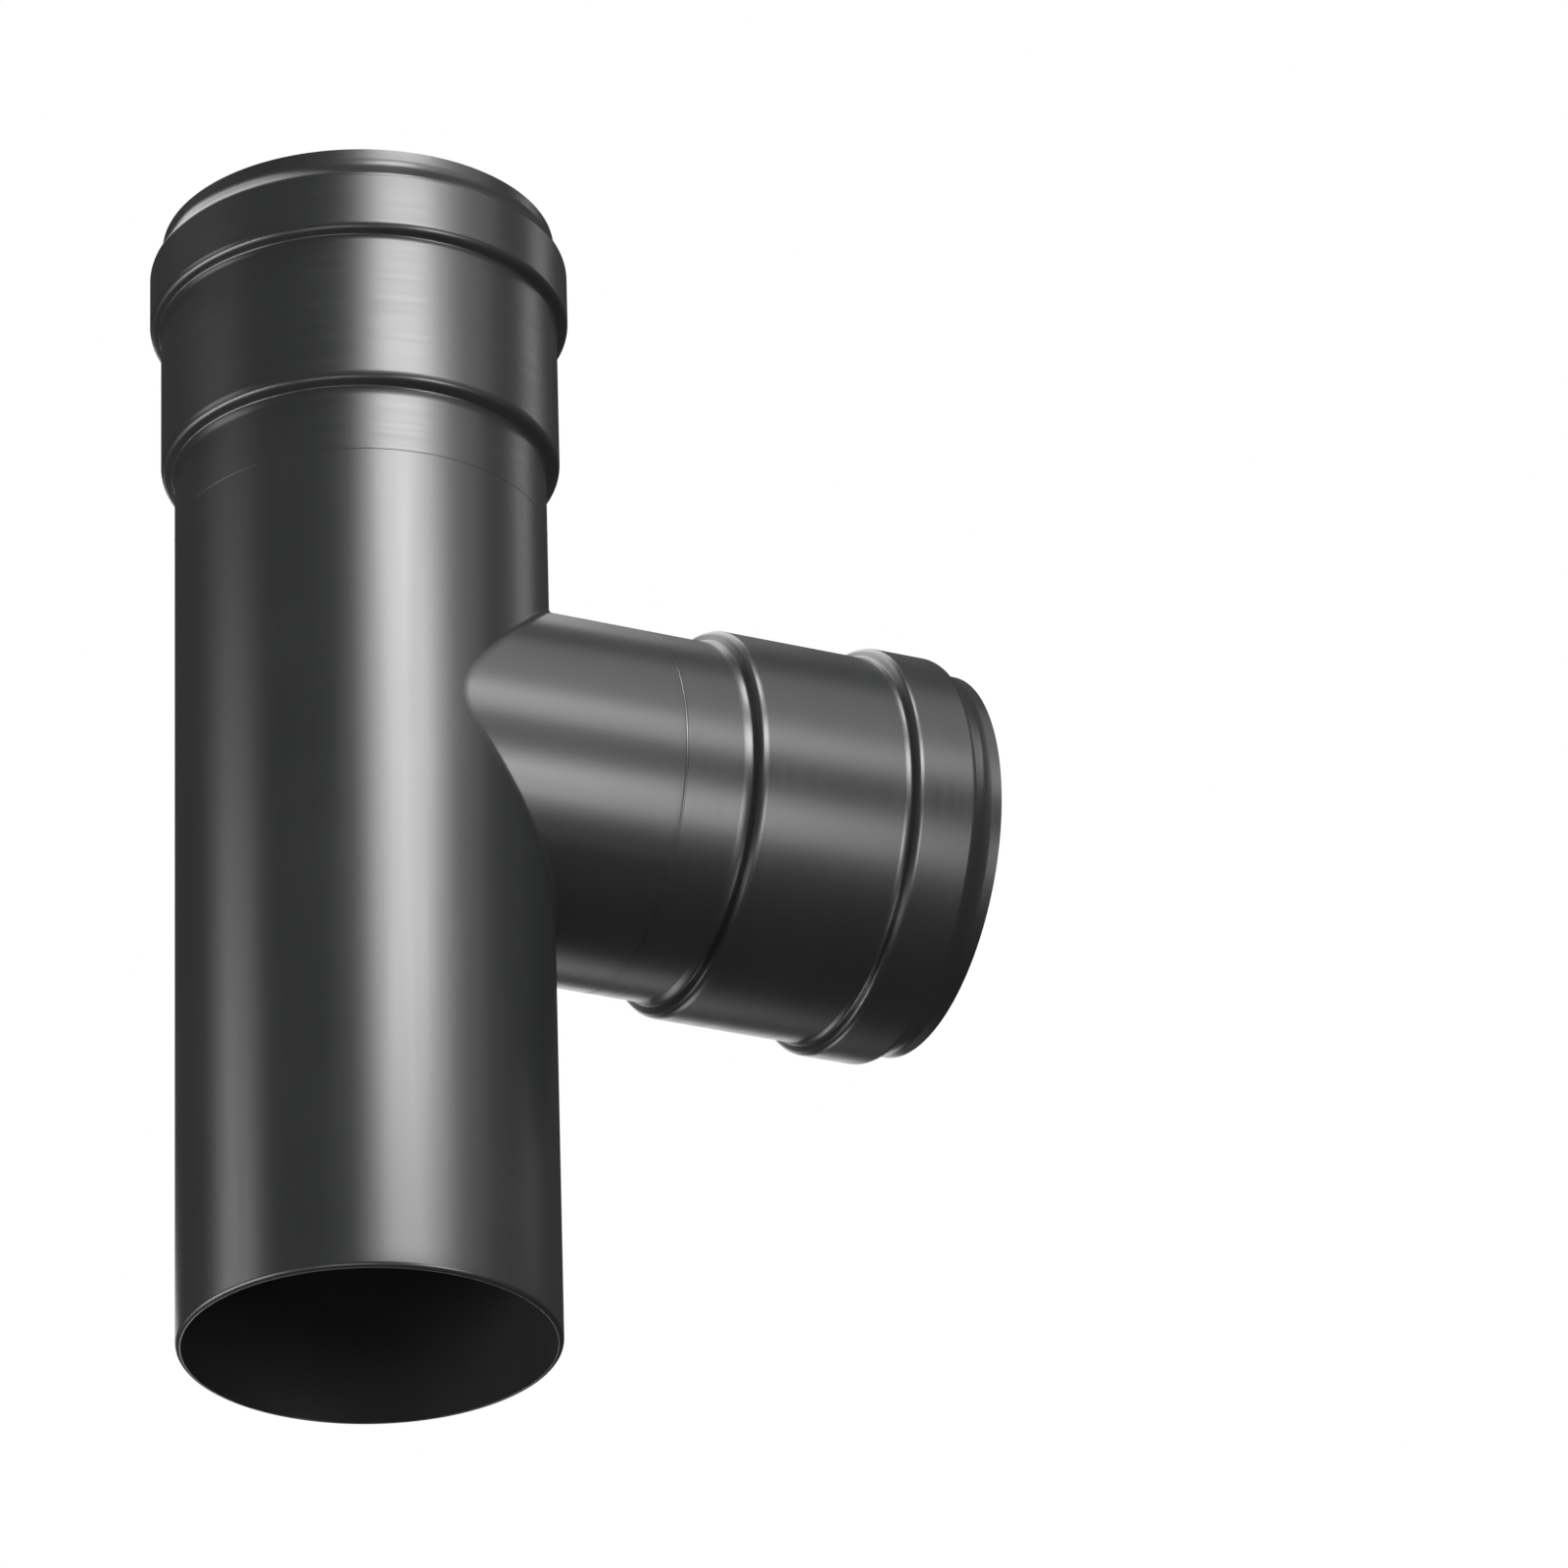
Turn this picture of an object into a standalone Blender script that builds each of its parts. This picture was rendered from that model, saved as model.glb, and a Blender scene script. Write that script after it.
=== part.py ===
"""Stove pipe tee for a pellet stove: a plain-ended run with a socket on top, and a socketed branch.

Sheet steel pipes and formed socket sleeves, welded together, with a silicone lip seal in each socket's ring.
The run stands on its plain end along +Z, and the branch points along +X.
"""

import math

import bmesh
import bpy
from mathutils import Matrix, Vector

MM = 0.001

# The two pipes: the run's lengths below and above the branch, and the branch's length out from the run's side
RUN_DIAMETER = 80.0 * MM
BRANCH_UNDERSIZE = 1.2 * MM
WALL = 1.2 * MM
RUN_BELOW_BRANCH = 95.6 * MM
RUN_ABOVE_BRANCH = 15.6 * MM
BRANCH_STUB = 18.0 * MM

# The formed socket sleeve, from its mouth down: radial steps, then lengths, then bends
SOCKET_CLEARANCE = 1.75 * MM
LIP_DROP = 0.3 * MM
RING_RISE = 2.4 * MM
LIP_LENGTH = 3.6 * MM
LIP_SHOULDER_LENGTH = 3.9 * MM
RING_LENGTH = 12.6 * MM
RING_SHOULDER_LENGTH = 2.0 * MM
BARREL_LENGTH = 33.5 * MM
PIPE_SHOULDER_LENGTH = 2.3 * MM
TAIL_LENGTH = 14.1 * MM
INNER_BEND = 0.8 * MM
RING_TOP_BEND = 3.8 * MM

# The lip seal
SEAL_LIPS = 3
SEAL_SQUEEZE = 0.6 * MM
SEAL_LIP_ROOT = 1.5 * MM
SEAL_LIP_TIP = 0.5 * MM
SEAL_LIP_SLANT = 0.9 * MM

# The fillet weld round the saddle, at its thickest, and the clearance where two pieces touch
WELD_RADIUS = 1.6 * MM
SEAT_GAP = 0.3 * MM

# Facets
TURN_STEPS = 60
SADDLE_STEPS = 120
BEND_SEGMENTS = 1
RING_TOP_SEGMENTS = 2
SHARP_ANGLE = math.radians(50.0)

RUN_RADIUS = RUN_DIAMETER / 2
BRANCH_RADIUS = (RUN_DIAMETER - BRANCH_UNDERSIZE) / 2
SLEEVE_LENGTH = (
    LIP_LENGTH
    + LIP_SHOULDER_LENGTH
    + RING_LENGTH
    + RING_SHOULDER_LENGTH
    + BARREL_LENGTH
    + PIPE_SHOULDER_LENGTH
    + TAIL_LENGTH
)
BRANCH_HEIGHT = RUN_BELOW_BRANCH + BRANCH_RADIUS
RUN_LENGTH = BRANCH_HEIGHT + BRANCH_RADIUS + RUN_ABOVE_BRANCH
BRANCH_LENGTH = RUN_RADIUS + BRANCH_STUB
TOP_MOUTH = RUN_LENGTH + SLEEVE_LENGTH
BRANCH_MOUTH = BRANCH_LENGTH + SLEEVE_LENGTH


def barrel_radius(pipe_radius):
    """Outside of a socket's barrel, which slides over a pipe of the socket's own size."""
    return pipe_radius + SOCKET_CLEARANCE + WALL


def ring_radius(pipe_radius):
    """Outside of the raised ring that holds the seal."""
    return barrel_radius(pipe_radius) + RING_RISE


# The part's origin is under the middle of its whole width, at the level of the plain end
RUN_AXIS_X = (ring_radius(RUN_RADIUS) - BRANCH_MOUTH) / 2


def start_scene():
    """Clears the scene and gives the collections for the parts and the cutters."""
    for old in list(bpy.data.objects):
        bpy.data.objects.remove(old, do_unlink=True)
    parts = bpy.data.collections.new("stove_pipe_tee")
    cutters = bpy.data.collections.new("cutters")
    bpy.context.scene.collection.children.link(parts)
    bpy.context.scene.collection.children.link(cutters)
    return parts, cutters


def make_frame(name, location, rotation, collection):
    """An empty whose local +Z runs along a pipe's axis, towards its socket."""
    frame = bpy.data.objects.new(name, None)
    frame.empty_display_size = RUN_DIAMETER
    frame.location = location
    frame.rotation_euler = rotation
    collection.objects.link(frame)
    return frame


def make_material(name, color, roughness, metallic):
    material = bpy.data.materials.new(name)
    material.use_nodes = True
    shader = material.node_tree.nodes["Principled BSDF"]
    shader.inputs["Base Color"].default_value = (*color, 1.0)
    shader.inputs["Roughness"].default_value = roughness
    shader.inputs["Metallic"].default_value = metallic
    return material


def enamel(name):
    """Satin black stove enamel on steel."""
    return make_material(name, (0.035, 0.037, 0.038), 0.42, 0.3)


def silicone(name):
    """Dark red silicone rubber."""
    return make_material(name, (0.24, 0.035, 0.04), 0.5, 0.0)


def add_object(name, mesh, frame, height, collection):
    """Places a mesh on a pipe's axis, with its own zero at this height along it."""
    placed = bpy.data.objects.new(name, mesh)
    placed.parent = frame
    placed.location = (0.0, 0.0, height)
    collection.objects.link(placed)
    return placed


def solid_cylinder(name, radius, length, steps, frame, height, collection):
    """A capped cylinder that starts at this height along a pipe's axis."""
    mesh = bpy.data.meshes.new(name)
    shape = bmesh.new()
    bmesh.ops.create_cone(
        shape, cap_ends=True, segments=steps, radius1=radius, radius2=radius, depth=length
    )
    bmesh.ops.translate(shape, verts=shape.verts, vec=(0.0, 0.0, length / 2))
    shape.to_mesh(mesh)
    shape.free()
    return add_object(name, mesh, frame, height, collection)


def turned(name, profile, closed, frame, height, collection):
    """Turns a profile, drawn at +X and running down its outer side, about a pipe's axis."""
    count = len(profile)
    edges = [(i, (i + 1) % count) for i in range(count if closed else count - 1)]
    mesh = bpy.data.meshes.new(name)
    mesh.from_pydata([(radius, 0.0, z) for radius, z in profile], edges, [])
    piece = add_object(name, mesh, frame, height, collection)
    screw = piece.modifiers.new("turn", "SCREW")
    screw.axis = "Z"
    screw.angle = 2 * math.pi
    screw.steps = TURN_STEPS
    screw.render_steps = TURN_STEPS
    screw.use_merge_vertices = True
    screw.merge_threshold = 0.0001
    screw.use_smooth_shade = True
    return piece


def add_wall(piece):
    """Gives a turned sheet its thickness, inwards from its outer side."""
    wall = piece.modifiers.new("wall", "SOLIDIFY")
    wall.thickness = WALL
    wall.offset = -1.0
    wall.use_even_offset = True
    wall.use_quality_normals = True


def combine(piece, other, operation):
    """Adds a Boolean modifier and keeps the other object out of the render."""
    cut = piece.modifiers.new(other.name, "BOOLEAN")
    cut.operation = operation
    cut.solver = "EXACT"
    cut.object = other
    other.hide_render = True
    other.display_type = "WIRE"


def finish(piece, material):
    """Applies the modifiers, shades the piece smooth up to its sharp edges and gives it its material."""
    bpy.context.view_layer.update()
    evaluated = piece.evaluated_get(bpy.context.evaluated_depsgraph_get())
    mesh = bpy.data.meshes.new_from_object(evaluated)
    piece.modifiers.clear()
    piece.data = mesh
    mesh.name = piece.name
    mesh.shade_smooth()
    mesh.set_sharp_from_angle(angle=SHARP_ANGLE)
    mesh.materials.clear()
    mesh.materials.append(material)


def sleeve_corners(pipe_radius):
    """Corners of the sleeve's outer side from its mouth down: radius, height, bend radius, segments."""
    outer_bend = INNER_BEND + WALL
    barrel = barrel_radius(pipe_radius)
    ring = ring_radius(pipe_radius)
    lip = barrel - LIP_DROP
    stations = (
        (lip, 0.0, 0.0, 0),
        (lip, LIP_LENGTH, INNER_BEND, BEND_SEGMENTS),
        (ring, LIP_SHOULDER_LENGTH, RING_TOP_BEND + WALL, RING_TOP_SEGMENTS),
        (ring, RING_LENGTH, outer_bend, BEND_SEGMENTS),
        (barrel, RING_SHOULDER_LENGTH, INNER_BEND, BEND_SEGMENTS),
        (barrel, BARREL_LENGTH, outer_bend, BEND_SEGMENTS),
        (pipe_radius, PIPE_SHOULDER_LENGTH, INNER_BEND, BEND_SEGMENTS),
        (pipe_radius, TAIL_LENGTH, 0.0, 0),
    )
    corners = []
    height = 0.0
    for radius, length, bend, segments in stations:
        height -= length
        corners.append((Vector((radius, height)), bend, segments))
    return corners


def bend_run_out(before, corner, after, bend):
    """Length that a bend takes from each straight beside its corner, at most half of the shorter one."""
    turn = math.pi - (before - corner).angle(after - corner)
    shorter = min((before - corner).length, (after - corner).length)
    return min(bend * math.tan(turn / 2), shorter / 2)


def rounded_profile(corners):
    """Replaces each inner corner of an outline by an arc that meets both straights smoothly."""
    points = [corners[0][0]]
    for (before, _, _), (corner, bend, segments), (after, _, _) in zip(corners, corners[1:], corners[2:]):
        towards_before = (before - corner).normalized()
        towards_after = (after - corner).normalized()
        run_out = bend_run_out(before, corner, after, bend)
        inwards = (towards_before + towards_after).normalized()
        centre = corner + inwards * (run_out / towards_before.dot(inwards))
        start = corner + towards_before * run_out - centre
        end = corner + towards_after * run_out - centre
        sweep = math.atan2(start.x * end.y - start.y * end.x, start.dot(end))
        for step in range(segments + 1):
            points.append(centre + Matrix.Rotation(sweep * step / segments, 2) @ start)
    points.append(corners[-1][0])
    return points


def make_socket(name, pipe_radius, frame, mouth_height, collection):
    """The formed sleeve: lip, ring for the seal, barrel, and the tail that is welded to the pipe."""
    profile = rounded_profile(sleeve_corners(pipe_radius))
    sleeve = turned(name, profile, False, frame, mouth_height, collection)
    add_wall(sleeve)
    finish(sleeve, enamel(name))


def seal_profile(pipe_radius):
    """The seal's section: a band seated in the ring, with lips that slant the way a pipe is pushed in."""
    corners = sleeve_corners(pipe_radius)
    lip_end, ring_top, ring_bottom, barrel_top = (corners[i][0] for i in (1, 2, 3, 4))
    top = ring_top.y - bend_run_out(lip_end, ring_top, ring_bottom, corners[2][1]) - SEAT_GAP
    bottom = ring_bottom.y + bend_run_out(ring_top, ring_bottom, barrel_top, corners[3][1]) + SEAT_GAP
    outer = ring_radius(pipe_radius) - WALL - SEAT_GAP
    inner = barrel_radius(pipe_radius) - WALL
    tip = pipe_radius - SEAL_SQUEEZE
    top_flare = (outer - inner) * LIP_SHOULDER_LENGTH / (RING_RISE + LIP_DROP)
    bottom_flare = (outer - inner) * RING_SHOULDER_LENGTH / RING_RISE
    points = [(outer, top), (outer, bottom), (inner, bottom - bottom_flare)]
    pitch = (top - bottom) / SEAL_LIPS
    for lip in range(SEAL_LIPS):
        root = bottom + (lip + 0.5) * pitch - SEAL_LIP_ROOT / 2
        points.append((inner, root))
        points.append((tip, root - SEAL_LIP_SLANT))
        points.append((tip, root - SEAL_LIP_SLANT + SEAL_LIP_TIP))
        points.append((inner, root + SEAL_LIP_ROOT))
    points.append((inner, top + top_flare))
    return points


def make_seal(name, pipe_radius, frame, mouth_height, collection):
    """The silicone ring that grips the next pipe."""
    seal = turned(name, seal_profile(pipe_radius), True, frame, mouth_height, collection)
    finish(seal, silicone(name))


def make_run_pipe(frame, bore_cutter, collection):
    """The straight pipe, with the saddle-shaped opening into the branch."""
    length = RUN_LENGTH - SEAT_GAP
    pipe = turned("run_pipe", [(RUN_RADIUS, length), (RUN_RADIUS, 0.0)], False, frame, 0.0, collection)
    add_wall(pipe)
    combine(pipe, bore_cutter, "DIFFERENCE")
    finish(pipe, enamel("run_pipe"))


def make_weld(frame, collection):
    """The weld bead round the saddle: full in the crotches, fading where the pipes meet almost flush."""
    curve = bpy.data.curves.new("saddle_weld", "CURVE")
    curve.dimensions = "3D"
    curve.bevel_depth = WELD_RADIUS
    curve.bevel_resolution = 2
    spline = curve.splines.new("POLY")
    spline.points.add(TURN_STEPS - 1)
    spline.use_cyclic_u = True
    for index, point in enumerate(spline.points):
        turn = 2 * math.pi * index / TURN_STEPS
        across = BRANCH_RADIUS * math.sin(turn)
        out = math.sqrt(RUN_RADIUS**2 - across**2)
        point.co = (out, across, BRANCH_HEIGHT + BRANCH_RADIUS * math.cos(turn), 1.0)
        run_normal = Vector((out, across, 0.0)).normalized()
        branch_normal = Vector((0.0, math.sin(turn), math.cos(turn)))
        point.radius = math.sin(run_normal.angle(branch_normal))
    bead = add_object("saddle_weld_curve", curve, frame, 0.0, collection)
    bpy.context.view_layer.update()
    evaluated = bead.evaluated_get(bpy.context.evaluated_depsgraph_get())
    mesh = bpy.data.meshes.new_from_object(evaluated)
    bpy.data.objects.remove(bead)
    return add_object("saddle_weld", mesh, frame, 0.0, collection)


def make_branch_pipe(frame, weld, run_cutter, bore_cutter, collection):
    """The stub between the run and the branch socket: welded on, cut to the run's saddle, then bored."""
    length = BRANCH_LENGTH - SEAT_GAP
    pipe = solid_cylinder("branch_pipe", BRANCH_RADIUS, length, TURN_STEPS, frame, 0.0, collection)
    combine(pipe, weld, "UNION")
    combine(pipe, run_cutter, "DIFFERENCE")
    combine(pipe, bore_cutter, "DIFFERENCE")
    finish(pipe, enamel("branch_pipe"))


def build():
    parts, cutters = start_scene()
    run_frame = make_frame("run_frame", (RUN_AXIS_X, 0.0, 0.0), (0.0, 0.0, 0.0), parts)
    branch_place = (RUN_AXIS_X, 0.0, BRANCH_HEIGHT)
    branch_frame = make_frame("branch_frame", branch_place, (0.0, math.pi / 2, 0.0), parts)

    bore_radius = BRANCH_RADIUS - WALL
    bore_cutter = solid_cylinder(
        "branch_bore_cutter", bore_radius, BRANCH_MOUTH, TURN_STEPS, branch_frame, 0.0, cutters
    )
    run_cutter = solid_cylinder(
        "run_saddle_cutter", RUN_RADIUS + SEAT_GAP, RUN_LENGTH, SADDLE_STEPS, run_frame, 0.0, cutters
    )
    weld = make_weld(run_frame, cutters)

    make_run_pipe(run_frame, bore_cutter, parts)
    make_branch_pipe(branch_frame, weld, run_cutter, bore_cutter, parts)
    make_socket("run_socket", RUN_RADIUS, run_frame, TOP_MOUTH, parts)
    make_socket("branch_socket", BRANCH_RADIUS, branch_frame, BRANCH_MOUTH, parts)
    make_seal("run_seal", RUN_RADIUS, run_frame, TOP_MOUTH, parts)
    make_seal("branch_seal", BRANCH_RADIUS, branch_frame, BRANCH_MOUTH, parts)


build()
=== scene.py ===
import math

import bmesh
import bpy
from mathutils import Matrix, Vector


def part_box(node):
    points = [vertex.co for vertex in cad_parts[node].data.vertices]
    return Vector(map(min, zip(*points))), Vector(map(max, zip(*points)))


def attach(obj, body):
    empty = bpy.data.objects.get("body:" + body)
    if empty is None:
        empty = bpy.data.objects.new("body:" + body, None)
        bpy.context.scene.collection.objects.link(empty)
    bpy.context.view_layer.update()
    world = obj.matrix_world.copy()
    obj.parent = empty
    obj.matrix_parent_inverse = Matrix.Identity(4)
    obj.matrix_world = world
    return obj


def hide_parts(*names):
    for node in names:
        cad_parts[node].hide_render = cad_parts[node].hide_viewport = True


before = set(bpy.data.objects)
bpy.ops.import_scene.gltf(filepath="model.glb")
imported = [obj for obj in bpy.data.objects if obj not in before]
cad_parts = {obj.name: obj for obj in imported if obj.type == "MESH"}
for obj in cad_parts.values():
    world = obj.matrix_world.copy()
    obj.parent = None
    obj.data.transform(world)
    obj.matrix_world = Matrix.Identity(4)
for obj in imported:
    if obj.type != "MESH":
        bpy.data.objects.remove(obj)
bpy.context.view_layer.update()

# Camera. The photograph looks up at the tee from below and from its left front.
# It was taken from far away through a long lens, so the pipes hardly taper.
camera = bpy.data.objects.new("camera", bpy.data.cameras.new("camera"))
bpy.context.scene.collection.objects.link(camera)
camera.data.sensor_width = 36.0
camera.data.lens = 216.64
camera.data.clip_end = 20.0
camera.location = (-0.72198, -1.63696, -0.79943)
camera.rotation_euler = (math.radians(117.6453), math.radians(1.7192), math.radians(-24.5255))
bpy.context.scene.camera = camera
bpy.context.scene.view_settings.view_transform = "Standard"

# Floor. A plain pale disc under the plain end, which takes the tee's shadow and fades into the white.
# It is seen from above only, so that a view from below looks past it to the tee.
floor_radius = 0.75
floor_drop = 0.0002
floor_color = (0.72, 0.72, 0.715, 1.0)
floor_clear_radius = 0.20
floor_steps = 96

shape = bmesh.new()
bmesh.ops.create_circle(shape, cap_ends=True, segments=floor_steps, radius=floor_radius)
bmesh.ops.translate(shape, verts=shape.verts, vec=(0.0, 0.0, -floor_drop))
floor_mesh = bpy.data.meshes.new("floor")
shape.to_mesh(floor_mesh)
shape.free()
floor = bpy.data.objects.new("floor", floor_mesh)
bpy.context.scene.collection.objects.link(floor)
floor_material = bpy.data.materials.new("pale_floor")
floor_material.use_nodes = True
nodes = floor_material.node_tree.nodes
links = floor_material.node_tree.links
nodes.clear()
seen = nodes.new("ShaderNodeLightPath")
side = nodes.new("ShaderNodeNewGeometry")
place = nodes.new("ShaderNodeTexCoord")
distance = nodes.new("ShaderNodeVectorMath")
distance.operation = "LENGTH"
fade = nodes.new("ShaderNodeMapRange")
fade.interpolation_type = "SMOOTHERSTEP"
fade.inputs["From Min"].default_value = floor_clear_radius
fade.inputs["From Max"].default_value = floor_radius
fade.inputs["To Min"].default_value = 1.0
fade.inputs["To Max"].default_value = 0.0
from_above = nodes.new("ShaderNodeMath")
from_above.operation = "SUBTRACT"
from_above.inputs[0].default_value = 1.0
by_camera = nodes.new("ShaderNodeMath")
by_camera.operation = "MULTIPLY"
shown = nodes.new("ShaderNodeMath")
shown.operation = "MULTIPLY"
clear = nodes.new("ShaderNodeBsdfTransparent")
paint = nodes.new("ShaderNodeBsdfDiffuse")
paint.inputs["Color"].default_value = floor_color
either = nodes.new("ShaderNodeMixShader")
output = nodes.new("ShaderNodeOutputMaterial")
links.new(place.outputs["Object"], distance.inputs[0])
links.new(distance.outputs["Value"], fade.inputs["Value"])
links.new(side.outputs["Backfacing"], from_above.inputs[1])
links.new(seen.outputs["Is Camera Ray"], by_camera.inputs[0])
links.new(from_above.outputs["Value"], by_camera.inputs[1])
links.new(by_camera.outputs["Value"], shown.inputs[0])
links.new(fade.outputs["Result"], shown.inputs[1])
links.new(shown.outputs["Value"], either.inputs["Fac"])
links.new(clear.outputs["BSDF"], either.inputs[1])
links.new(paint.outputs["BSDF"], either.inputs[2])
links.new(either.outputs["Shader"], output.inputs["Surface"])
floor_mesh.materials.append(floor_material)

# Studio. White all round to the camera, dim grey to the enamel, so its dark bands stay dark.
# The front, wide, upper and low boxes make the bright bands along the pipes. The low one stands nearer,
# so that its band fades towards the branch's mouth. The others show the edges, sides, back and underside.
surround_grey = 0.050
studio_middle = Vector((0.0, 0.0, 0.131))
softbox_distance = 1.3
near_distance = 0.8

world = bpy.data.worlds.new("studio")
bpy.context.scene.world = world
world.use_nodes = True
nodes = world.node_tree.nodes
links = world.node_tree.links
surround = nodes["Background"]
surround.inputs["Color"].default_value = (surround_grey, surround_grey, surround_grey, 1.0)
white = nodes.new("ShaderNodeBackground")
white.inputs["Color"].default_value = (1.0, 1.0, 1.0, 1.0)
white.inputs["Strength"].default_value = 1.0
seen = nodes.new("ShaderNodeLightPath")
either = nodes.new("ShaderNodeMixShader")
links.new(seen.outputs["Is Camera Ray"], either.inputs["Fac"])
links.new(surround.outputs["Background"], either.inputs[1])
links.new(white.outputs["Background"], either.inputs[2])
links.new(either.outputs["Shader"], nodes["World Output"].inputs["Surface"])


def softbox(name, turn, lift, width, height, radiance, distance=softbox_distance):
    """A lamp that faces the tee, turned right of its front and lifted. All four angles are in degrees."""
    lamp = bpy.data.lights.new(name, "AREA")
    lamp.shape = "RECTANGLE"
    lamp.size = 2 * distance * math.tan(math.radians(width) / 2)
    lamp.size_y = 2 * distance * math.tan(math.radians(height) / 2)
    lamp.energy = radiance * math.pi * lamp.size * lamp.size_y
    placed = bpy.data.objects.new(name, lamp)
    level = math.cos(math.radians(lift))
    right = math.sin(math.radians(turn)) * level
    front = math.cos(math.radians(turn)) * level
    towards = Vector((right, -front, math.sin(math.radians(lift))))
    placed.location = studio_middle + towards * distance
    placed.rotation_euler = towards.to_track_quat("Z", "Y").to_euler()
    placed.visible_camera = False
    bpy.context.scene.collection.objects.link(placed)


softbox("front_box", 0.0, 29.0, 27.0, 17.0, 8.6)
softbox("wide_box", 1.5, 29.0, 47.0, 17.0, 3.4)
softbox("upper_box", 1.0, 62.0, 14.0, 17.0, 11.7)
softbox("low_box", 14.5, -16.0, 17.0, 22.0, 8.2, near_distance)
softbox("lower_box", 6.0, -35.0, 24.0, 14.0, 1.2)
softbox("side_box", 34.0, 46.0, 36.0, 50.0, 0.7)
softbox("right_box", 94.0, 32.0, 14.0, 14.0, 1.4)
softbox("top_box", -174.0, 60.0, 46.0, 32.0, 2.5)
softbox("left_box", -105.0, 16.0, 27.0, 18.0, 2.0)
softbox("left_low_box", -105.0, -28.0, 50.0, 16.0, 6.5)
softbox("inner_box", -40.0, -45.0, 26.0, 26.0, 1.6)
softbox("back_box", 165.0, 11.0, 38.0, 18.0, 1.8)
softbox("back_low_box", 165.0, -33.0, 16.0, 20.0, 2.2)
softbox("back_left_box", -146.0, -27.0, 14.0, 18.0, 1.0)

# Run pipe. Steel sheet 1.2 mm thick, rolled to an 80 mm tube, its seam ground flush, enamelled all over.
# The plain end at the bottom slides into the next socket. The opening for the branch is cut in its side.
wall = 0.0012
rim_round = 0.0010
burr_round = 0.00012
round_steps = 4
run_cuts = 56
merge_distance = 0.000001
turn_steps = 192
run_radius = 0.040
run_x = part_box("run_pipe")[0][0] + run_radius
run_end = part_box("run_pipe")[1][2]
run_place = Matrix.Translation((run_x, 0.0, 0.0))
stub_radius = 0.0394
branch_height = 0.135
branch_place = Matrix.Translation((run_x, 0.0, branch_height)) @ Matrix.Rotation(math.pi / 2, 4, "Y")
crease = math.radians(40.0)
enamel_gloss = 0.295
gloss_range = 0.04
pipe_streak = 0.000002
fine_streaks = 240.0
long_streaks = 10.0


def finish_piece(name, shape, material):
    """Makes an object of a bmesh that has its place, shades it smooth and lets it ride on the body."""
    mesh = bpy.data.meshes.new(name)
    shape.to_mesh(mesh)
    shape.free()
    mesh.shade_smooth()
    mesh.set_sharp_from_angle(angle=crease)
    mesh.materials.append(material)
    piece = bpy.data.objects.new(name, mesh)
    bpy.context.scene.collection.objects.link(piece)
    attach(piece, "root")
    return piece


def even_shading(piece):
    """Lets the long straight faces rule the shading, so that a narrow bend doesn't tint them."""
    even = piece.modifiers.new("even_shading", "WEIGHTED_NORMAL")
    even.mode = "FACE_AREA"
    even.weight = 50
    even.keep_sharp = True


def turn_outline(shape):
    """Turns an outline at +X all the way round Z and closes its seam."""
    outline = shape.verts[:] + shape.edges[:]
    axis = (0.0, 0.0, 1.0)
    centre = (0.0, 0.0, 0.0)
    bmesh.ops.spin(
        shape, geom=outline, cent=centre, axis=axis, angle=2 * math.pi, steps=turn_steps, use_merge=True
    )
    bmesh.ops.remove_doubles(shape, verts=shape.verts, dist=merge_distance)
    bmesh.ops.recalc_face_normals(shape, faces=shape.faces)


def pipe_wall(radius, start, end, cuts, end_round):
    """A length of pipe on Z: the sheet's section turned, with its start's outer edge rounded the most."""
    shape = bmesh.new()
    inner = radius - wall
    corners = [shape.verts.new(place) for place in (
        (radius, 0.0, start), (radius, 0.0, end), (inner, 0.0, end), (inner, 0.0, start)
    )]
    shape.faces.new(corners)
    for rounded, size in ((corners[2:], burr_round), (corners[1:2], end_round), (corners[:1], rim_round)):
        bmesh.ops.bevel(
            shape, geom=rounded, affect="VERTICES", offset=size, segments=round_steps, profile=0.5,
            material=-1
        )
    bmesh.ops.delete(shape, geom=shape.faces[:], context="FACES_ONLY")
    sides = [edge for edge in shape.edges if edge.calc_length() > 2 * wall]
    bmesh.ops.subdivide_edges(shape, edges=sides, cuts=cuts)
    turn_outline(shape)
    return shape


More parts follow.
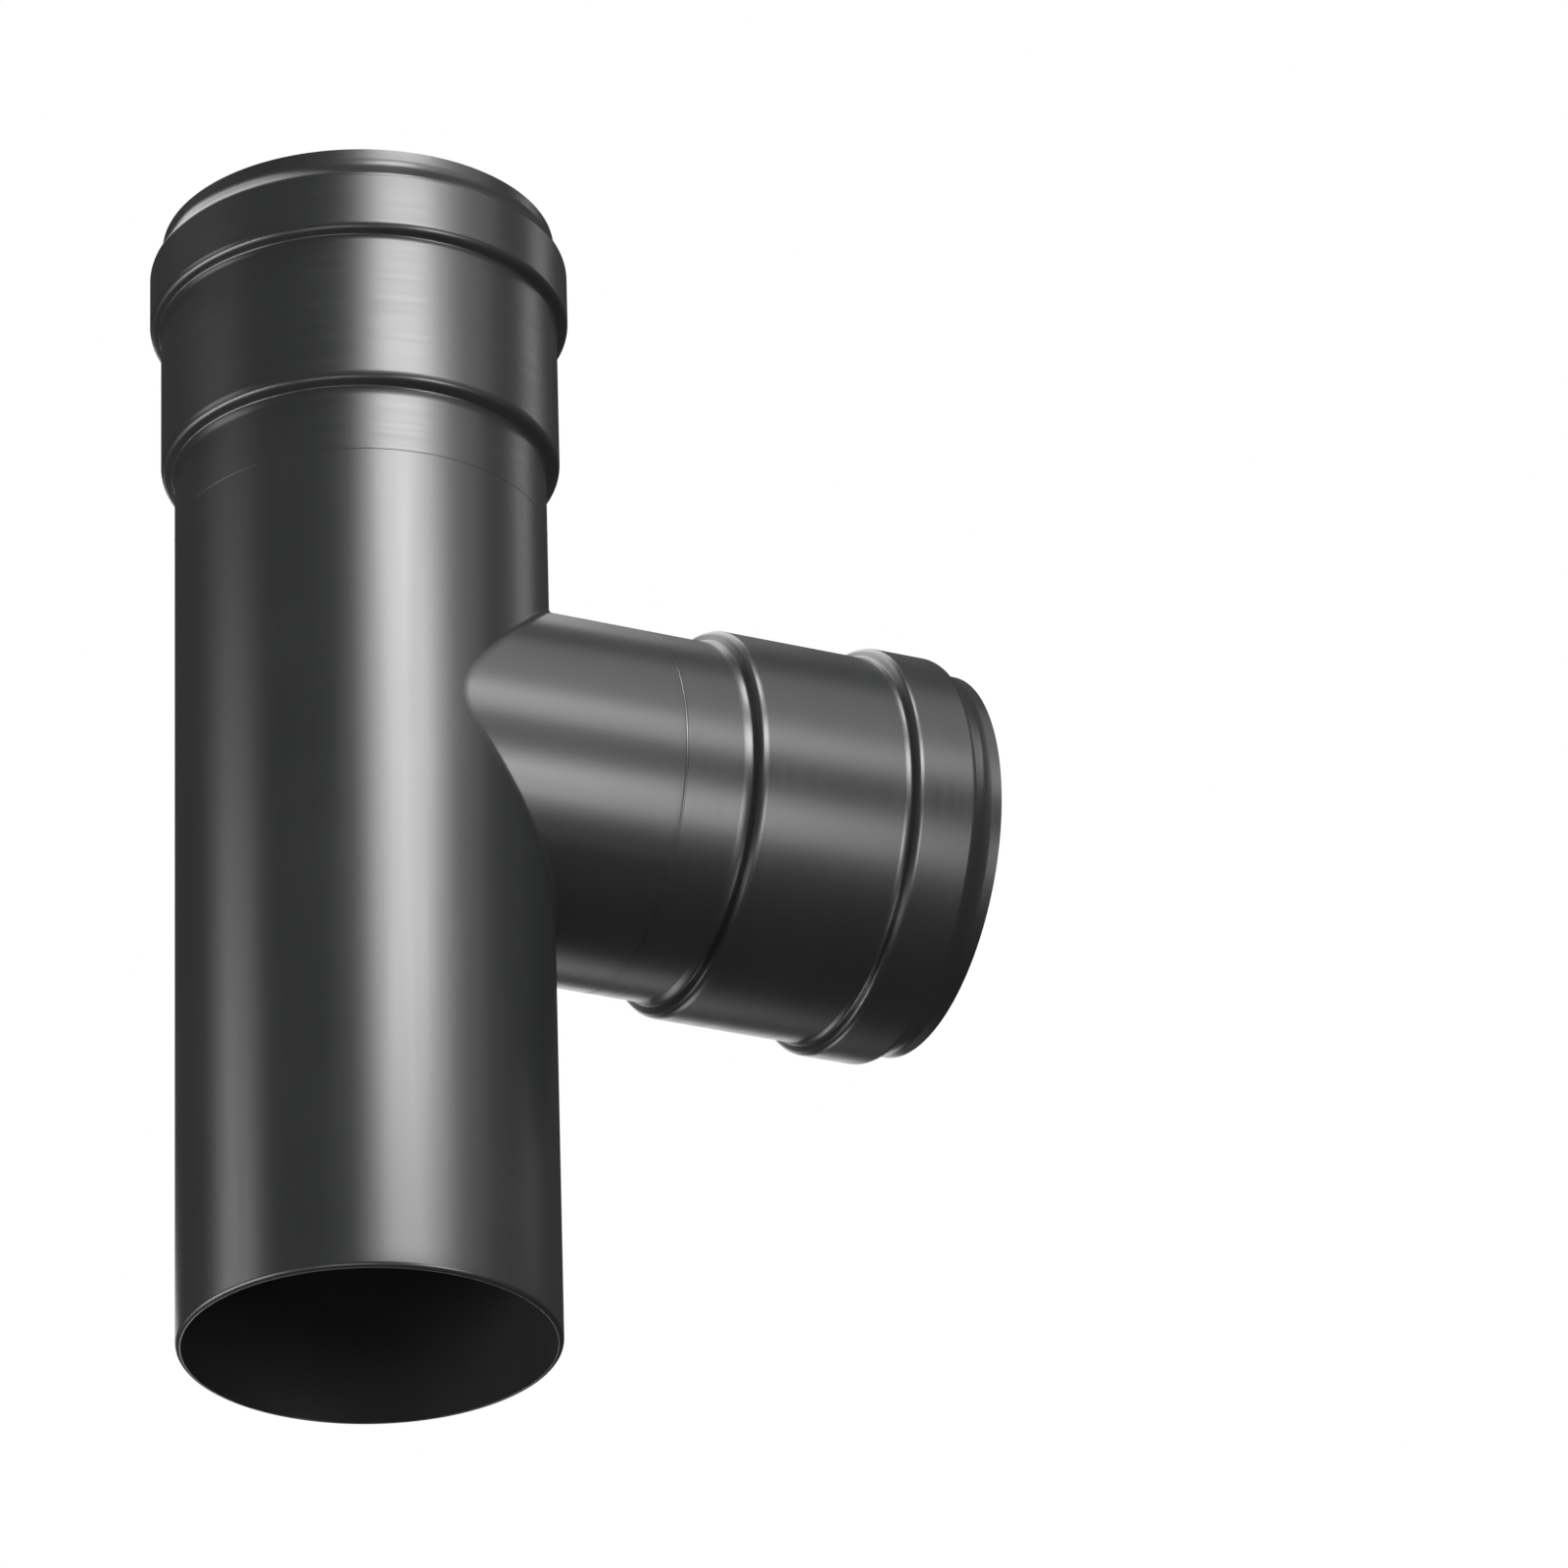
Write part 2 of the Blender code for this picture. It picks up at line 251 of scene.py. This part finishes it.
def enamel(name, streak_scale, streak_depth, smoothest):
    """Satin black enamel: a fine grain, faint streaks the way the steel was worked, uneven gloss."""
    material = bpy.data.materials.new(name)
    material.use_nodes = True
    nodes = material.node_tree.nodes
    links = material.node_tree.links
    shader = nodes["Principled BSDF"]
    shader.inputs["IOR"].default_value = 1.8
    place = nodes.new("ShaderNodeTexCoord")
    stretch = nodes.new("ShaderNodeMapping")
    stretch.inputs["Scale"].default_value = streak_scale
    streaks = nodes.new("ShaderNodeTexNoise")
    streaks.inputs["Scale"].default_value = 1.0
    streaks.inputs["Detail"].default_value = 1.5
    streaks.inputs["Roughness"].default_value = 0.6
    clouds = nodes.new("ShaderNodeTexNoise")
    clouds.inputs["Scale"].default_value = 45.0
    clouds.inputs["Detail"].default_value = 3.0
    grain = nodes.new("ShaderNodeTexNoise")
    grain.inputs["Scale"].default_value = 1300.0
    grain.inputs["Detail"].default_value = 2.0
    shade = nodes.new("ShaderNodeMix")
    shade.data_type = "RGBA"
    shade.inputs["A"].default_value = (0.019, 0.020, 0.0205, 1.0)
    shade.inputs["B"].default_value = (0.029, 0.030, 0.0305, 1.0)
    gloss = nodes.new("ShaderNodeMapRange")
    gloss.inputs["From Min"].default_value = 0.3
    gloss.inputs["From Max"].default_value = 0.7
    gloss.inputs["To Min"].default_value = smoothest
    gloss.inputs["To Max"].default_value = smoothest + gloss_range
    streak_bump = nodes.new("ShaderNodeBump")
    streak_bump.inputs["Distance"].default_value = streak_depth
    grain_bump = nodes.new("ShaderNodeBump")
    grain_bump.inputs["Distance"].default_value = 0.000004
    links.new(place.outputs["Object"], stretch.inputs["Vector"])
    links.new(stretch.outputs["Vector"], streaks.inputs["Vector"])
    links.new(place.outputs["Object"], clouds.inputs["Vector"])
    links.new(place.outputs["Object"], grain.inputs["Vector"])
    links.new(clouds.outputs["Fac"], shade.inputs["Factor"])
    links.new(shade.outputs["Result"], shader.inputs["Base Color"])
    links.new(streaks.outputs["Fac"], gloss.inputs["Value"])
    links.new(gloss.outputs["Result"], shader.inputs["Roughness"])
    links.new(streaks.outputs["Fac"], streak_bump.inputs["Height"])
    links.new(grain.outputs["Fac"], grain_bump.inputs["Height"])
    links.new(streak_bump.outputs["Normal"], grain_bump.inputs["Normal"])
    links.new(grain_bump.outputs["Normal"], shader.inputs["Normal"])
    return material


shape = pipe_wall(run_radius, 0.0, run_end, run_cuts, burr_round)
bmesh.ops.transform(shape, matrix=run_place, verts=shape.verts)
run_streaks = (fine_streaks, fine_streaks, long_streaks)
run_enamel = enamel("run_enamel", run_streaks, pipe_streak, enamel_gloss)
run_pipe = finish_piece("run_tube", shape, run_enamel)
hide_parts("run_pipe")

shape = bmesh.new()
bore_radius = stub_radius - wall
bmesh.ops.create_cone(
    shape, cap_ends=True, segments=turn_steps, radius1=bore_radius, radius2=bore_radius, depth=run_radius * 2
)
bmesh.ops.translate(shape, verts=shape.verts, vec=(0.0, 0.0, run_radius))
bmesh.ops.transform(shape, matrix=branch_place, verts=shape.verts)
bore_mesh = bpy.data.meshes.new("branch_opening")
shape.to_mesh(bore_mesh)
shape.free()
bore = bpy.data.objects.new("branch_opening", bore_mesh)
bpy.context.scene.collection.objects.link(bore)
opening = run_pipe.modifiers.new("branch_opening", "BOOLEAN")
opening.operation = "DIFFERENCE"
opening.solver = "EXACT"
opening.object = bore
bpy.context.view_layer.update()
opened = run_pipe.evaluated_get(bpy.context.evaluated_depsgraph_get())
opened_mesh = bpy.data.meshes.new_from_object(opened)
run_pipe.modifiers.clear()
run_pipe.data = opened_mesh
opened_mesh.shade_smooth()
opened_mesh.set_sharp_from_angle(angle=crease)
bpy.data.objects.remove(bore)
even_shading(run_pipe)

# Branch stub. The same sheet rolled a little thinner than the run, its end cut to the run's round.
# It stands on the run's side over the opening, before it is welded there.
stub_end = 0.0577
stub_sink = 0.0003
stub_end_round = 0.0004
stub_cuts = 24

shape = pipe_wall(stub_radius, 0.0, stub_end, stub_cuts, stub_end_round)
for vert in shape.verts:
    saddle = math.sqrt((run_radius - stub_sink) ** 2 - vert.co.y ** 2)
    vert.co.z = saddle + (stub_end - saddle) * vert.co.z / stub_end
bmesh.ops.transform(shape, matrix=branch_place, verts=shape.verts)
stub_streaks = (long_streaks, fine_streaks, fine_streaks)
stub_enamel = enamel("stub_enamel", stub_streaks, pipe_streak, enamel_gloss)
stub = finish_piece("stub_tube", shape, stub_enamel)
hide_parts("branch_pipe")
even_shading(stub)

# Saddle weld. A smooth fillet runs all the way round where the stub meets the run, and blends the two.
# It is full in the two crotches and flattens out at the sides, where the pipes meet almost flush.
weld_steps = 480
weld_reach = 0.0010
weld_sink = 0.00001
weld_root = 0.0004
weld_facets = 8
ripple_count = 150
ripple_depth = 0.03
weld_gloss = 0.29
weld_streak = 0.000004
weld_grain = (300.0, 300.0, 300.0)

shape = bmesh.new()
sections = []
for step in range(weld_steps):
    turn = 2 * math.pi * step / weld_steps
    reach = weld_reach * (1 + ripple_depth * math.sin(ripple_count * turn))
    stub_normal = Vector((0.0, math.sin(turn), math.cos(turn)))
    corner = stub_normal * stub_radius
    corner.x = math.sqrt(run_radius ** 2 - corner.y ** 2)
    run_normal = Vector((corner.x, corner.y, 0.0)).normalized()
    shared = run_normal.dot(stub_normal)
    on_run = corner + (stub_normal - run_normal * shared).normalized() * reach
    on_run.xy = on_run.xy.normalized() * (run_radius - weld_sink)
    on_stub = corner + (run_normal - stub_normal * shared).normalized() * reach
    on_stub.yz = on_stub.yz.normalized() * (stub_radius - weld_sink)
    root = corner - (run_normal + stub_normal).normalized() * weld_root
    section = [shape.verts.new(root)]
    for facet in range(weld_facets + 1):
        part = facet / weld_facets
        point = on_run.lerp(corner, part).lerp(corner.lerp(on_stub, part), part)
        section.append(shape.verts.new(point))
    sections.append(section)
for section, following in zip(sections, sections[1:] + sections[:1]):
    for index in range(len(section)):
        shape.faces.new((section[index - 1], section[index], following[index], following[index - 1]))
bmesh.ops.recalc_face_normals(shape, faces=shape.faces)
bmesh.ops.translate(shape, verts=shape.verts, vec=(run_x, 0.0, branch_height))
weld_enamel = enamel("weld_enamel", weld_grain, weld_streak, weld_gloss)
finish_piece("saddle_weld", shape, weld_enamel)

# Socket sleeves. A short tube is swaged over a tool: a tail of the pipe's own size, a shoulder,
# a wide barrel, a raised ring that holds the seal, and a lip. The forming leaves fine streaks round it.
socket_clearance = 0.00175
lip_drop = 0.0003
ring_rise = 0.0024
lip_length = 0.0036
lip_shoulder = 0.0039
ring_length = 0.0126
ring_shoulder = 0.0020
barrel_length = 0.0335
pipe_shoulder = 0.0023
tail_length = 0.0141
lip_bend = 0.0045
ring_top_bend = 0.0020
ring_foot_bend = 0.0020
barrel_top_bend = 0.0030
barrel_foot_bend = 0.0032
tail_top_bend = 0.0050
high_knee_bend = 0.0014
low_knee_bend = 0.0006
soft_slope = math.radians(22.0)
steep_slope = math.radians(70.0)
bend_slack = 0.00005
bend_steps = 6
sleeve_rim_round = 0.0004
sleeve_rim_steps = 3
sleeve_rim_angle = math.radians(60.0)
sleeve_streak = 0.0000004
fine_rings = 650.0
long_rings = 25.0


def round_bend(shape, corner, bend):
    """Rounds a corner of an outline to this radius."""
    before, after = [edge.other_vert(corner).co - corner.co for edge in corner.link_edges]
    turn = math.pi - before.angle(after)
    run_out = bend * math.tan(turn / 2)
    bmesh.ops.bevel(
        shape, geom=[corner], affect="VERTICES", offset=run_out, segments=bend_steps, profile=0.5,
        material=-1
    )


def swaged_shoulder(high, low, middle, high_bend, low_bend):
    """Corners of a shoulder, with its bends: it leaves both sides softly and is steep in its middle."""
    knee_turn = (steep_slope - soft_slope) / 2
    high_part = high_bend * math.tan(soft_slope / 2) + high_knee_bend * math.tan(knee_turn) + bend_slack
    low_part = low_bend * math.tan(soft_slope / 2) + low_knee_bend * math.tan(knee_turn) + bend_slack
    high_knee = high - high_part * math.sin(soft_slope)
    low_knee = low + low_part * math.sin(soft_slope)
    half = (high_knee - low_knee) / 2 / math.tan(steep_slope)
    return [
        (high, middle + half + high_part * math.cos(soft_slope), high_bend),
        (high_knee, middle + half, high_knee_bend),
        (low_knee, middle - half, low_knee_bend),
        (low, middle - half - low_part * math.cos(soft_slope), low_bend),
    ]


def sleeve_wall(pipe_radius, mouth):
    """The sleeve's outer side on Z, from mouth to tail. Each corner has a radius, a height and a bend."""
    barrel = pipe_radius + socket_clearance + wall
    ring = barrel + ring_rise
    lip = barrel - lip_drop
    lip_foot = mouth - lip_length
    ring_top = lip_foot - lip_shoulder
    ring_foot = ring_top - ring_length
    barrel_top = ring_foot - ring_shoulder
    barrel_foot = barrel_top - barrel_length
    tail_top = barrel_foot - pipe_shoulder
    corners = [(lip, mouth, 0.0), (lip, lip_foot, lip_bend), (ring, ring_top, ring_top_bend)]
    corners += swaged_shoulder(ring, barrel, (ring_foot + barrel_top) / 2, ring_foot_bend, barrel_top_bend)
    corners += swaged_shoulder(
        barrel, pipe_radius, (barrel_foot + tail_top) / 2, barrel_foot_bend, tail_top_bend
    )
    corners += [(pipe_radius, tail_top - tail_length, 0.0)]
    shape = bmesh.new()
    line = [shape.verts.new((corner[0], 0.0, corner[1])) for corner in corners]
    for start, end in zip(line, line[1:]):
        shape.edges.new((start, end))
    for vert, corner in list(zip(line, corners))[1:-1]:
        round_bend(shape, vert, corner[2])
    turn_outline(shape)
    return shape


def finish_sleeve(name, shape, material):
    """Gives a sleeve its sheet thickness, inwards, and rounds its two rims."""
    sleeve = finish_piece(name, shape, material)
    sheet = sleeve.modifiers.new("sheet", "SOLIDIFY")
    sheet.thickness = wall
    sheet.offset = -1.0
    sheet.use_even_offset = True
    sheet.use_quality_normals = True
    rims = sleeve.modifiers.new("rims", "BEVEL")
    rims.limit_method = "ANGLE"
    rims.angle_limit = sleeve_rim_angle
    rims.width = sleeve_rim_round
    rims.segments = sleeve_rim_steps
    even_shading(sleeve)
    return sleeve


run_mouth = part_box("run_socket")[1][2]
shape = sleeve_wall(run_radius, run_mouth)
bmesh.ops.transform(shape, matrix=run_place, verts=shape.verts)
run_rings = (long_rings, long_rings, fine_rings)
run_sleeve_enamel = enamel("run_sleeve_enamel", run_rings, sleeve_streak, enamel_gloss)
run_sleeve = finish_sleeve("run_sleeve", shape, run_sleeve_enamel)
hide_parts("run_socket")

branch_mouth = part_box("branch_socket")[1][0] - run_x
shape = sleeve_wall(stub_radius, branch_mouth)
bmesh.ops.transform(shape, matrix=branch_place, verts=shape.verts)
branch_rings = (fine_rings, long_rings, long_rings)
branch_sleeve_enamel = enamel("branch_sleeve_enamel", branch_rings, sleeve_streak, enamel_gloss)
branch_sleeve = finish_sleeve("branch_sleeve", shape, branch_sleeve_enamel)
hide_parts("branch_socket")

# Butt welds. Each sleeve's tail is welded end to end on its pipe, which turns under the torch.
# The bead is ground almost flush, on the branch a little below it, and under the enamel only a fine line
# shows between the two rounded rims.
butt_width = 0.0014
run_butt_step = 0.00002
branch_butt_step = -0.00005
butt_steps = 20


def butt_weld(pipe_radius, height, step):
    """A flat oval bead round a pipe on Z, as thick as the sheet and higher by a step."""
    shape = bmesh.new()
    bmesh.ops.create_circle(shape, cap_ends=False, segments=butt_steps, radius=1.0)
    bmesh.ops.scale(shape, verts=shape.verts, vec=(wall / 2 + step, butt_width / 2, 1.0))
    upright = Matrix.Rotation(math.pi / 2, 3, "X")
    bmesh.ops.rotate(shape, verts=shape.verts, cent=(0.0, 0.0, 0.0), matrix=upright)
    bmesh.ops.translate(shape, verts=shape.verts, vec=(pipe_radius - wall / 2, 0.0, height))
    turn_outline(shape)
    return shape


run_butt_height = run_end + (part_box("run_socket")[0][2] - run_end) / 2
shape = butt_weld(run_radius, run_butt_height, run_butt_step)
bmesh.ops.transform(shape, matrix=run_place, verts=shape.verts)
finish_piece("run_butt_weld", shape, weld_enamel)

branch_butt_height = (stub_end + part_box("branch_socket")[0][0] - run_x) / 2
shape = butt_weld(stub_radius, branch_butt_height, branch_butt_step)
bmesh.ops.transform(shape, matrix=branch_place, verts=shape.verts)
finish_piece("branch_butt_weld", shape, weld_enamel)

# Lip seals. Dark red silicone, moulded as a band with three slanted lips and pressed into each ring.
# A pipe that is pushed in bends the lips over and is held gas-tight.
seal_gap = 0.0003
seal_lips = 3
lip_root = 0.0015
lip_tip = 0.0005
lip_slant = 0.0009
lip_squeeze = 0.0006
seal_edge_round = 0.0002
seal_edge_steps = 3
fine_lines = 900.0
long_lines = 12.0


def silicone(name, turn_scale):
    """Dark red silicone: satin, with faint moulding lines round the band and a slightly dusty bloom."""
    material = bpy.data.materials.new(name)
    material.use_nodes = True
    nodes = material.node_tree.nodes
    links = material.node_tree.links
    shader = nodes["Principled BSDF"]
    place = nodes.new("ShaderNodeTexCoord")
    stretch = nodes.new("ShaderNodeMapping")
    stretch.inputs["Scale"].default_value = turn_scale
    lines = nodes.new("ShaderNodeTexNoise")
    lines.inputs["Scale"].default_value = 1.0
    lines.inputs["Detail"].default_value = 3.0
    bloom = nodes.new("ShaderNodeTexNoise")
    bloom.inputs["Scale"].default_value = 180.0
    bloom.inputs["Detail"].default_value = 4.0
    shade = nodes.new("ShaderNodeMix")
    shade.data_type = "RGBA"
    shade.inputs["A"].default_value = (0.15, 0.020, 0.025, 1.0)
    shade.inputs["B"].default_value = (0.21, 0.032, 0.038, 1.0)
    gloss = nodes.new("ShaderNodeMapRange")
    gloss.inputs["To Min"].default_value = 0.38
    gloss.inputs["To Max"].default_value = 0.56
    bump = nodes.new("ShaderNodeBump")
    bump.inputs["Distance"].default_value = 0.00001
    links.new(place.outputs["Object"], stretch.inputs["Vector"])
    links.new(stretch.outputs["Vector"], lines.inputs["Vector"])
    links.new(place.outputs["Object"], bloom.inputs["Vector"])
    links.new(bloom.outputs["Fac"], shade.inputs["Factor"])
    links.new(shade.outputs["Result"], shader.inputs["Base Color"])
    links.new(bloom.outputs["Fac"], gloss.inputs["Value"])
    links.new(gloss.outputs["Result"], shader.inputs["Roughness"])
    links.new(lines.outputs["Fac"], bump.inputs["Height"])
    links.new(bump.outputs["Normal"], shader.inputs["Normal"])
    return material


def lip_seal(pipe_radius, top, bottom):
    """The seal's section between two heights on Z, its edges rounded, turned."""
    band = pipe_radius + socket_clearance
    back = band + ring_rise - seal_gap
    tip = pipe_radius - lip_squeeze
    points = [(back, top), (back, bottom), (band, bottom)]
    pitch = (top - bottom) / seal_lips
    for lip in range(seal_lips):
        root = bottom + (lip + 0.5) * pitch - lip_root / 2
        points.append((band, root))
        points.append((tip, root - lip_slant))
        points.append((tip, root - lip_slant + lip_tip))
        points.append((band, root + lip_root))
    points.append((band, top))
    shape = bmesh.new()
    corners = [shape.verts.new((radius, 0.0, height)) for radius, height in points]
    shape.faces.new(corners)
    bmesh.ops.bevel(
        shape, geom=corners, affect="VERTICES", offset=seal_edge_round, segments=seal_edge_steps,
        profile=0.5, material=-1
    )
    bmesh.ops.delete(shape, geom=shape.faces[:], context="FACES_ONLY")
    turn_outline(shape)
    return shape


seal_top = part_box("run_seal")[1][2]
seal_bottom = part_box("run_seal")[0][2]
shape = lip_seal(run_radius, seal_top, seal_bottom)
bmesh.ops.transform(shape, matrix=run_place, verts=shape.verts)
run_silicone = silicone("run_silicone", (long_lines, long_lines, fine_lines))
run_seal = finish_piece("run_lip_seal", shape, run_silicone)
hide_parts("run_seal")
even_shading(run_seal)

seal_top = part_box("branch_seal")[1][0] - run_x
seal_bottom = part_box("branch_seal")[0][0] - run_x
shape = lip_seal(stub_radius, seal_top, seal_bottom)
bmesh.ops.transform(shape, matrix=branch_place, verts=shape.verts)
branch_silicone = silicone("branch_silicone", (fine_lines, long_lines, long_lines))
branch_seal = finish_piece("branch_lip_seal", shape, branch_silicone)
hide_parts("branch_seal")
even_shading(branch_seal)
